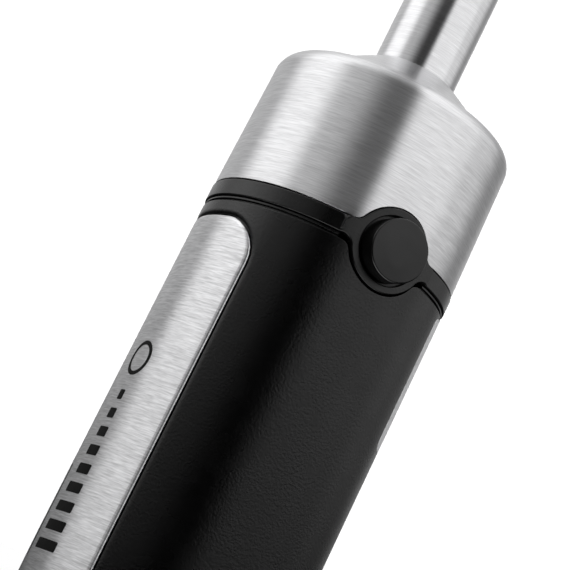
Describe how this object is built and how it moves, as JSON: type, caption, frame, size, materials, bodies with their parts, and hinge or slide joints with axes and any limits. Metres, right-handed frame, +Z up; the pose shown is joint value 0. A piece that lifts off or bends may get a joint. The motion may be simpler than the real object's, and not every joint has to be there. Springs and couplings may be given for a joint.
{
  "type": "stick blender",
  "caption": "Hand-held immersion blender: a round motor handle with keys, a speed dial and release buttons, and a pull-off steel leg with a bell over the blades.",
  "frame": {"origin": "centre of the bell's rim, which is the lowest plane", "axes": "+Z up the handle's axis from the blades to the cable inlet, -Y out of the front with the keys, +X and -X out of the release buttons"},
  "size_m": [0.0746, 0.068, 0.3968],
  "materials": {
    "brushed_steel": "fine hairlines around the axis",
    "satin_steel": "smooth satin",
    "shaft_steel": "ground steel",
    "blade_steel": "ground and honed along the edges",
    "screw_steel": "zinc plated",
    "cast_alloy": "die cast",
    "printed_aluminium": "matt anodised with printed lines",
    "laminations": "stacked electrical sheet",
    "copper": "enamelled copper",
    "bronze": "sintered bronze",
    "soft_grip": "soft-touch coating over hard plastic",
    "band_plastic": "fine-grained satin black",
    "button_plastic": "fine-grained satin dark grey",
    "dial_plastic": "satin black with grooves",
    "inner_plastic": "glass-filled moulding",
    "fan_plastic": "plain moulding",
    "wire_plastic": "insulated wire",
    "circuit_board": "green board with dark components",
    "phenolic": "brown phenolic",
    "carbon": "pressed carbon",
    "seal_rubber": "black rubber"
  },
  "bodies": {
    "motor_unit": {"coupling_band": "band_plastic", "spigot": "inner_plastic", "spigot_seal": "seal_rubber", "spigot_screws": "screw_steel", "release_spring_left": "screw_steel", "release_spring_right": "screw_steel", "grip_sleeve": "soft_grip", "front_panel": "brushed_steel", "rating_plate": "printed_aluminium", "chassis_left": "inner_plastic", "chassis_right": "inner_plastic", "chassis_screws": "screw_steel", "lower_bracket": "cast_alloy", "upper_bracket": "cast_alloy", "bearings": "shaft_steel", "motor_mounts": "seal_rubber", "stator_core": "laminations", "field_coils": "copper", "motor_screws": "screw_steel", "brush_holders": "phenolic", "carbon_brushes": "carbon", "control_board": "circuit_board", "micro_switches": "button_plastic", "wiring_loom": "wire_plastic", "power_spring": "screw_steel", "turbo_spring": "screw_steel", "end_cap": "band_plastic", "speed_track": "circuit_board", "track_screws": "screw_steel", "cable_cap": "band_plastic", "inlet_bush": "seal_rubber"},
    "rotor": {"motor_shaft": "shaft_steel", "armature_core": "laminations", "armature_windings": "copper", "commutator": "copper", "cooling_fan": "fan_plastic", "drive_dog": "cast_alloy"},
    "leg": {"bell_guard": "satin_steel", "bell_hub": "inner_plastic", "lower_bush": "bronze", "lower_seal": "seal_rubber", "leg_tube": "satin_steel", "tube_guide": "inner_plastic", "neck_cone": "satin_steel", "leg_collar": "brushed_steel", "leg_socket": "inner_plastic", "upper_bush": "bronze"},
    "cutter": {"drive_shaft": "shaft_steel", "shaft_coupling": "inner_plastic", "thrust_washer": "shaft_steel", "blade_hub": "shaft_steel", "blade_nut": "shaft_steel", "lower_blade": "blade_steel", "upper_blade": "blade_steel"},
    "release_left": {"release_button_left": "button_plastic"},
    "release_right": {"release_button_right": "button_plastic"},
    "power_key": {"power_button": "button_plastic"},
    "turbo_key": {"turbo_button": "button_plastic"},
    "dial": {"speed_dial": "dial_plastic", "wiper_ring": "bronze"}
  },
  "joints": [
    {"name": "leg_pull", "type": "slide", "parent": "motor_unit", "child": "leg", "axis": [0, 0, -1], "range_m": [0, 0.03]},
    {"name": "motor_spin", "type": "hinge", "parent": "motor_unit", "child": "rotor", "pos_m": [0, 0, 0.265], "axis": [0, 0, 1], "continuous": true},
    {"name": "blade_spin", "type": "hinge", "parent": "leg", "child": "cutter", "pos_m": [0, 0, 0.1], "axis": [0, 0, 1], "continuous": true},
    {"name": "release_left_press", "type": "slide", "parent": "motor_unit", "child": "release_left", "axis": [1, 0, 0], "range_m": [0, 0.0025], "stiffness_N_per_m": 900, "springref_m": -0.003, "deforming": ["release_spring_left"]},
    {"name": "release_right_press", "type": "slide", "parent": "motor_unit", "child": "release_right", "axis": [-1, 0, 0], "range_m": [0, 0.0025], "stiffness_N_per_m": 900, "springref_m": -0.003, "deforming": ["release_spring_right"]},
    {"name": "power_key_press", "type": "slide", "parent": "motor_unit", "child": "power_key", "axis": [0, 1, 0], "range_m": [0, 0.0018], "stiffness_N_per_m": 600, "springref_m": -0.003, "deforming": ["power_spring"]},
    {"name": "turbo_key_press", "type": "slide", "parent": "motor_unit", "child": "turbo_key", "axis": [0, 1, 0], "range_m": [0, 0.0018], "stiffness_N_per_m": 600, "springref_m": -0.003, "deforming": ["turbo_spring"]},
    {"name": "speed_dial_turn", "type": "hinge", "parent": "motor_unit", "child": "dial", "pos_m": [0, 0, 0.382], "axis": [0, 0, 1], "range_deg": [0, 270]}
  ],
  "couplings": [
    {"joint": "blade_spin", "follows": "motor_spin", "ratio": 1}
  ]
}
